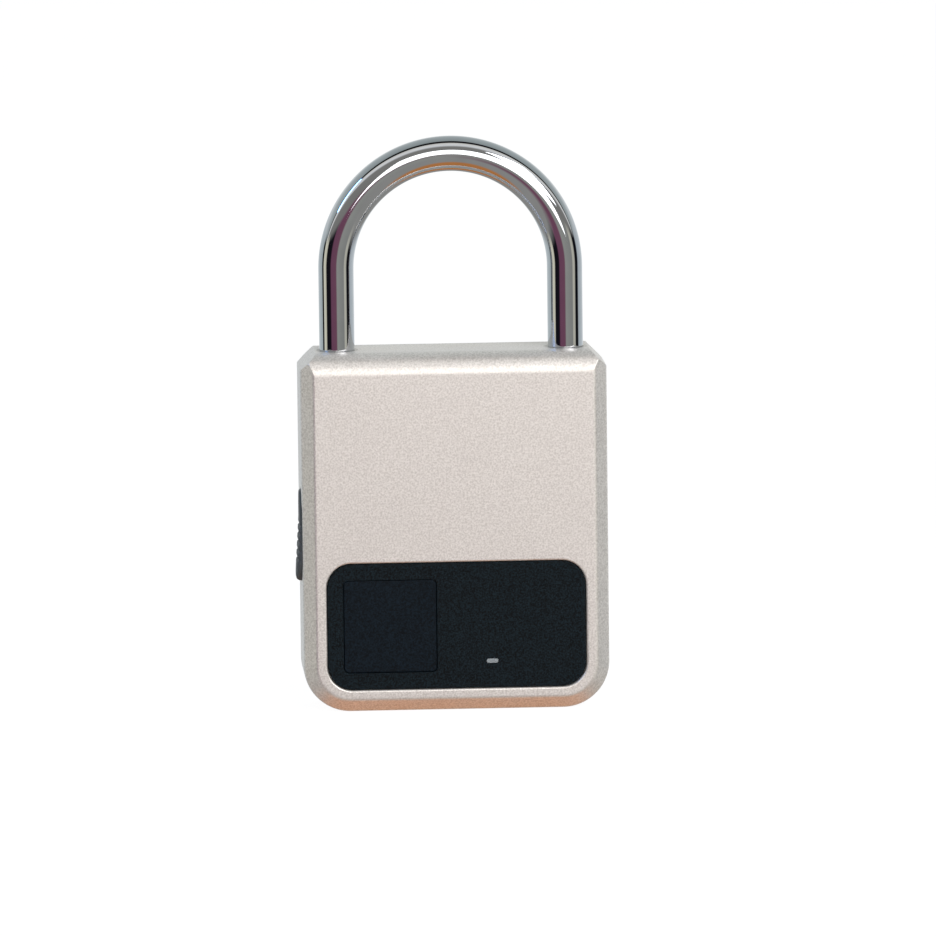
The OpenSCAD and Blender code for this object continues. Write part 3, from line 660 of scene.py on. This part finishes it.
def cover_ring(z, half, outer, inner):
    """One level of the cover: flat inside, rounded outside."""
    r = min(0.55, half * 0.8, (inner - outer) * 0.8)
    ring = [(inner, COVER_Y - half, z), (inner, COVER_Y - half / 2, z), (inner, COVER_Y, z),
            (inner, COVER_Y + half / 2, z), (inner, COVER_Y + half, z)]
    for i in range(9):
        a = math.radians(11.25 * i)
        ring.append((outer + r - r * math.sin(a), COVER_Y + half - r + r * math.cos(a), z))
    for f in (0.6, 0.2, -0.2, -0.6):
        ring.append((outer, COVER_Y + (half - r) * f, z))
    for i in range(9):
        a = math.radians(90 - 11.25 * i)
        ring.append((outer + r - r * math.sin(a), COVER_Y - half + r - r * math.cos(a), z))
    return ring


def port_cover_rings():
    """The whole moulding, level by level, with its swelling end and grip grooves."""
    low, high = flap_low.z + 0.01, root_high.z - 0.01
    inner = -SIDE + PAD
    rings = []
    steps = 150
    for i in range(steps + 1):
        u = i / steps
        z = low + (high - low) * (1 - math.cos(math.pi * u)) / 2
        end = min(z - low, high - z)
        half = HALF_W if end >= HALF_W else math.sqrt(max(HALF_W**2 - (HALF_W - end) ** 2, 0.0025))
        swell = min(max((HINGE_Z - 0.6 - z) / (HINGE_Z - 1.6 - low), 0.0), 1.0)
        outer = root_low.x + 0.02 - (root_low.x - flap_low.x - 0.03) * swell
        for k in range(GROOVES):
            groove = abs(z - (HINGE_Z - 1.6 - GROOVE_PITCH * k))
            if groove < GROOVE_HALF:
                outer += 0.2 * math.cos(groove / GROOVE_HALF * math.pi / 2) ** 1.5
        lip = max(0.0, 1 - end / 0.6)
        outer += 0.45 * lip * lip
        rings.append(cover_ring(z, half, outer, inner))
    return rings


def disc(x, y, z, r):
    """A circle that faces along X."""
    return [(x, y + r * math.cos(math.radians(a)), z + r * math.sin(math.radians(a))) for a in range(0, 360, 10)]


port_cover = loft("Port_cover", port_cover_rings())
tongue_low, tongue_high = span("usb_tongue")
PORT_Y, PORT_Z = (tongue_low.y + tongue_high.y) / 2, (tongue_low.z + tongue_high.z) / 2
plug = [[(x, PORT_Y + u, PORT_Z + v) for u, _, v in rounded(0, (-0.75, -3.2), (0.75, 3.2), 0.7, grow)]
        for x, grow in ((-SIDE + 0.8, 0.0), (flap_high.x - 0.2, 0.0), (flap_high.x - 0.05, -0.06), (flap_high.x, -0.2))]
carve(port_cover, loft("plug", plug), "UNION")
stem_z = HINGE_Z + 2
head_x = root_high.x - 0.6
stem = [disc(x, COVER_Y, stem_z, r) for x, r in (
    (-SIDE + 0.8, 0.8), (head_x, 0.8), (head_x + 0.01, 1.28), (root_high.x - 0.08, 1.02), (root_high.x, 0.92))]
carve(port_cover, loft("stem", stem), "UNION")
complete(port_cover, rubber, "housing", "rubber", "port_cover_root", "port_cover_flap", crease=50,
         rides=False)
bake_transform(port_cover)

# ---------- studio ----------
# A pale table and a white room with soft light from the front and above. The walls differ in tone
# round the room, which gives the polished bar its bands.

floor_mesh = bpy.data.meshes.new("Table")
REACH = 3
floor_mesh.from_pydata([(-REACH, -REACH, 0), (REACH, -REACH, 0), (REACH, REACH, 0), (-REACH, REACH, 0)], [],
                       [(0, 1, 2, 3)])
floor = linked("Table", floor_mesh)
floor.location.z = -0.00005
floor.visible_glossy = False
table = bpy.data.materials.new("Pale table")
table.use_nodes = True
tree = table.node_tree
tree.nodes.clear()
rays = add(tree, "ShaderNodeLightPath")
plain = add(tree, "ShaderNodeBsdfDiffuse", {"Color": srgb("F4F4F4")})
seen = add(tree, "ShaderNodeEmission", {"Color": srgb("FFFFFF"), "Strength": 1.1})
camera_mix = add(tree, "ShaderNodeMixShader", {0: 0.85, 1: plain.outputs[0], 2: seen.outputs[0]})
by_camera = add(tree, "ShaderNodeMixShader", {0: rays.outputs["Is Camera Ray"], 1: plain.outputs[0],
                                              2: camera_mix.outputs[0]})
add(tree, "ShaderNodeOutputMaterial", {"Surface": by_camera.outputs[0]})
floor_mesh.materials.append(table)


def ramp(tree, fac, stops):
    """A colour ramp with (position, hex colour) stops."""
    node = add(tree, "ShaderNodeValToRGB", {"Fac": fac})
    line = node.color_ramp
    line.elements[0].position = stops[0][0]
    line.elements[0].color = srgb(stops[0][1])
    line.elements[1].position = stops[-1][0]
    line.elements[1].color = srgb(stops[-1][1])
    for position, code in stops[1:-1]:
        line.elements.new(position).color = srgb(code)
    return node.outputs["Color"]


world = bpy.data.worlds.new("White room")
bpy.context.scene.world = world
world.use_nodes = True
tree = world.node_tree
tree.nodes.clear()
direction = add(tree, "ShaderNodeSeparateXYZ", {0: add(tree, "ShaderNodeTexCoord").outputs["Generated"]})
backwards = add(tree, "ShaderNodeMath", {0: direction.outputs["Y"], 1: -1.0}, operation="MULTIPLY")
angle = add(tree, "ShaderNodeMath", {0: direction.outputs["X"], 1: backwards.outputs[0]}, operation="ARCTAN2")
turn = add(tree, "ShaderNodeMapRange", {"Value": angle.outputs[0], "From Min": -math.pi, "From Max": math.pi})


def at(degrees):
    """Place on the ramp of a direction, counted from the front, positive to the right."""
    return (degrees + 180) / 360


walls = ramp(tree, turn.outputs["Result"], [
    (at(-180), "E8EEF0"), (at(-106), "C4CED0"), (at(-103), "101216"), (at(-92), "14161A"), (at(-88), "FAF6E0"),
    (at(-71), "E8E2CC"), (at(-67), "14141A"), (at(-40), "1E1A22"), (at(-34), "7E5068"), (at(-3), "805468"),
    (at(4), "A8A8A2"), (at(48), "9A9A96"), (at(54), "DAD6C6"), (at(66), "D0CCBE"), (at(71), "101216"),
    (at(90), "14181E"), (at(96), "C8D0D4"), (at(180), "F4F8FA")])
level = add(tree, "ShaderNodeMapRange", {"Value": direction.outputs["Z"], "From Min": -1.0,
                                         "From Max": 1.0}).outputs["Result"]
over = add(tree, "ShaderNodeMath", {0: direction.outputs["Z"], 1: backwards.outputs[0]}, operation="ARCTAN2")
over_turn = add(tree, "ShaderNodeMapRange", {"Value": over.outputs[0], "From Min": 0.0, "From Max": math.pi})
ceiling = ramp(tree, over_turn.outputs["Result"], [
    (0.0, "8C8A86"), (0.27, "94928E"), (0.33, "FFFFFF"), (0.42, "F4F0E8"), (0.44, "101012"), (0.5, "121214"),
    (0.53, "A8B0B0"), (0.8, "C4CCCC"), (1.0, "FFFFFF")])
height = ramp(tree, level, [(0.0, "000000"), (0.555, "000000"), (0.6, "FFFFFF"), (1.0, "FFFFFF")])
below = ramp(tree, level, [(0.0, "FFFFFF"), (0.27, "FFFFFF"), (0.36, "000000"), (1.0, "000000")])
depth = ramp(tree, level, [(0.0, "FFFFFF"), (0.07, "FFFFFF"), (0.12, "000000"), (1.0, "000000")])
upper = add(tree, "ShaderNodeMix", {0: height, 6: walls, 7: ceiling}, data_type="RGBA")
lower = add(tree, "ShaderNodeMix", {0: below, 6: upper.outputs[2], 7: srgb("A4A29E")}, data_type="RGBA")
room = add(tree, "ShaderNodeMix", {0: depth, 6: lower.outputs[2], 7: srgb("D08A50")}, data_type="RGBA")
lit = add(tree, "ShaderNodeBackground", {"Color": room.outputs[2], "Strength": 1.0})
white = add(tree, "ShaderNodeBackground", {"Color": srgb("FFFFFF"), "Strength": 1.0})
rays = add(tree, "ShaderNodeLightPath")
both = add(tree, "ShaderNodeMixShader", {0: rays.outputs["Is Camera Ray"], 1: lit.outputs[0], 2: white.outputs[0]})
add(tree, "ShaderNodeOutputWorld", {"Surface": both.outputs[0]})


def soft_light(name, place, size, watts, colour):
    """A flat lamp that points at the middle of the lock."""
    light = bpy.data.lights.new(name, "AREA")
    light.shape = "RECTANGLE"
    light.size, light.size_y = size
    light.energy = watts
    light.color = srgb(colour)[:3]
    obj = linked(name, light)
    obj.location = place
    obj.rotation_euler = (Vector((0, 0, 0.035)) - Vector(place)).to_track_quat("-Z", "Y").to_euler()
    return obj


soft_light("Key", (0.36, -0.42, 0.4), (0.3, 0.3), 1.5, "FBFCFF")
soft_light("Fill", (0.16, -0.8, 0.28), (0.7, 0.4), 2.35, "FFFEFC")
soft_light("Window", (-0.81, -0.1, 0.6), (0.1, 0.35), 1.2, "7EB4FF")

# ---------- camera ----------
# A long lens, a little above the lock and to its left.
# It is rolled slightly, so that the lock's level edges are level in the frame.

AZIMUTH, ELEVATION, ROLL = -3.00, 7.34, -0.68
DISTANCE, LENS = 1.4984, 406.20
AIM = Vector((0.00218, 0.0, 0.03380))
lens = bpy.data.cameras.new("Camera")
lens.lens = LENS
lens.sensor_width = 36.0
lens.clip_start, lens.clip_end = 0.01, 20.0
camera = linked("Camera", lens)
a, e = math.radians(AZIMUTH), math.radians(ELEVATION)
back = Vector((math.sin(a) * math.cos(e), -math.cos(a) * math.cos(e), math.sin(e)))
camera.rotation_mode = "QUATERNION"
camera.location = AIM + back * DISTANCE
level_view = (-back).to_track_quat("-Z", "Y")
camera.rotation_quaternion = level_view @ Matrix.Rotation(math.radians(ROLL), 4, "Z").to_quaternion()
bpy.context.scene.camera = camera
bpy.context.scene.view_settings.view_transform = "Standard"
